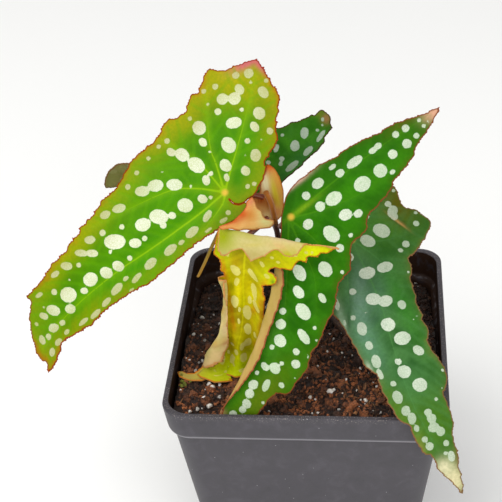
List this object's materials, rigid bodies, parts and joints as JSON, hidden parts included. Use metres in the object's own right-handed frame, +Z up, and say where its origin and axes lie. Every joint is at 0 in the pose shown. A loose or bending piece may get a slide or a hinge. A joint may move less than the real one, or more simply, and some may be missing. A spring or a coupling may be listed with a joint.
{
  "type": "potted cane begonia",
  "caption": "Square nursery pot filled with soil, with a cane-stemmed house plant whose wing-shaped, toothed, spotted leaves hang on short stalks.",
  "frame": {"origin": "centre of the pot's flat base, on the surface it stands on", "axes": "+Z up, -Y towards the front, where most leaves face, +X to the right seen from the front"},
  "size_m": [0.1544, 0.1119, 0.1893],
  "materials": {
    "pot_plastic": "moulded charcoal plastic, satin",
    "potting_soil": "moist peat and coir with perlite grains",
    "cane_skin": "smooth dark red-brown stem skin",
    "petiole_skin": "smooth reddish green leaf stalk",
    "leaf_lime": "glossy lime green leaf with silver spots",
    "leaf_green": "glossy green leaf with silver spots",
    "leaf_dark": "dark green leaf with silver spots",
    "leaf_yellow": "pleated yellow leaf with pale spots",
    "stipule_fresh": "papery bract, orange to cream",
    "stipule_straw": "dried straw-coloured strip"
  },
  "bodies": {
    "root": {"pot": "pot_plastic", "soil": "potting_soil", "cane": "cane_skin", "petiole_upper_left": "petiole_skin", "petiole_centre": "petiole_skin", "petiole_right": "petiole_skin", "petiole_young": "petiole_skin", "petiole_back": "petiole_skin", "leaf_upper_left": "leaf_lime", "leaf_centre": "leaf_green", "leaf_right": "leaf_dark", "leaf_back": "leaf_dark", "leaf_young": "leaf_yellow", "stipule_upper": "stipule_fresh", "stipule_lower": "stipule_fresh", "stipule_dry": "stipule_straw"}
  },
  "joints": []
}
